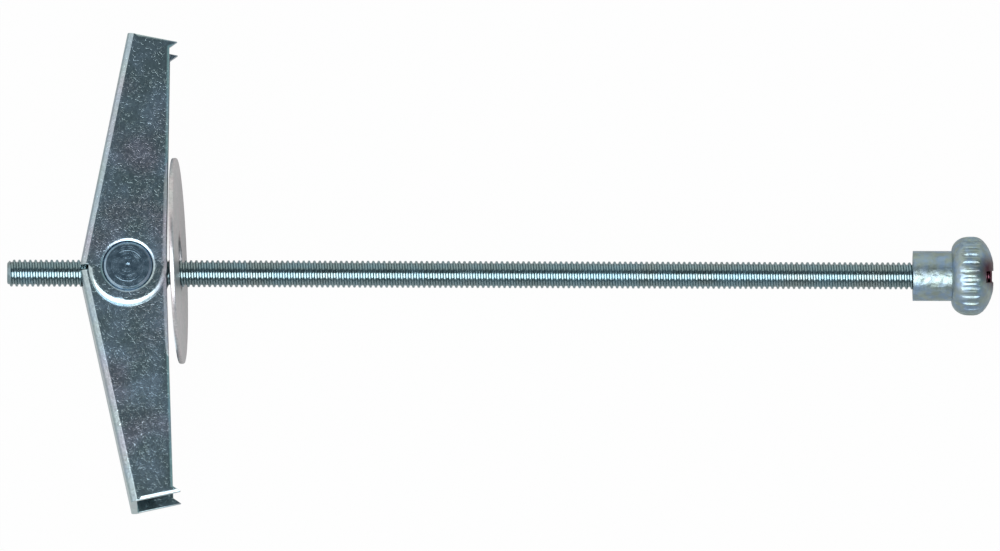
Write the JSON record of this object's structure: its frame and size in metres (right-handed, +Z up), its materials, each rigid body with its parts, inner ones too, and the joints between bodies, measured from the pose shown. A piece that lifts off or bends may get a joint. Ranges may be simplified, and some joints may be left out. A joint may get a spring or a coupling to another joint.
{
  "type": "spring toggle bolt",
  "caption": "Spring toggle bolt: sprung channel wings on a barrel nut, a long threaded rod, a loose wide washer and a fluted sleeve nut with a driver slot.",
  "frame": {"origin": "centre of the bounding box at the surface that the bolt lies on", "axes": "+X along the bolt, from the wings towards the sleeve nut; +Y towards the left wing; +Z up, away from the surface"},
  "size_m": [0.1459, 0.0708, 0.0305],
  "materials": {
    "wing_steel": "zinc-plated pressed sheet",
    "turned_steel": "turned",
    "spring_steel": "dark oiled wire",
    "rod_steel": "zinc-plated rolled thread",
    "washer_steel": "zinc-plated, satin",
    "cast_zinc": "plated die-cast zinc"
  },
  "bodies": {
    "toggle": {"barrel_nut": "turned_steel", "torsion_spring": "spring_steel"},
    "left_wing": {"left_wing": "wing_steel"},
    "right_wing": {"right_wing": "wing_steel"},
    "washer": {"washer": "washer_steel"},
    "rod": {"threaded_rod": "rod_steel"},
    "nut": {"sleeve_nut": "cast_zinc"}
  },
  "joints": [
    {"name": "left_wing_fold", "type": "hinge", "parent": "toggle", "child": "left_wing", "pos_m": [-0.05509, 0, 0.01383], "axis": [-0.0622, 0.2227, -0.9729], "range_deg": [0, 82], "stiffness_Nm_per_rad": 0.1, "springref_deg": -34.38, "deforming": ["torsion_spring"]},
    {"name": "right_wing_fold", "type": "hinge", "parent": "toggle", "child": "right_wing", "pos_m": [-0.05509, 0, 0.01383], "axis": [0.0622, -0.2227, 0.9729], "range_deg": [0, 82]},
    {"name": "washer_slide", "type": "slide", "parent": "toggle", "child": "washer", "axis": [0.998, 0, -0.0638], "range_m": [0, 0.043]},
    {"name": "rod_slide", "type": "slide", "parent": "toggle", "child": "rod", "axis": [-0.998, 0, 0.0638], "range_m": [-0.0119, 0.0579]},
    {"name": "nut_spin", "type": "hinge", "parent": "rod", "child": "nut", "pos_m": [0.06088, 0, 0.00641], "axis": [-0.998, 0, 0.0638], "range_deg": [-5400, 26280]}
  ],
  "couplings": [
    {"joint": "right_wing_fold", "follows": "left_wing_fold", "ratio": 1},
    {"joint": "washer_slide", "follows": "left_wing_fold", "m_per_rad": 0.03},
    {"joint": "nut_spin", "follows": "rod_slide", "rad_per_m": 7915.8}
  ]
}
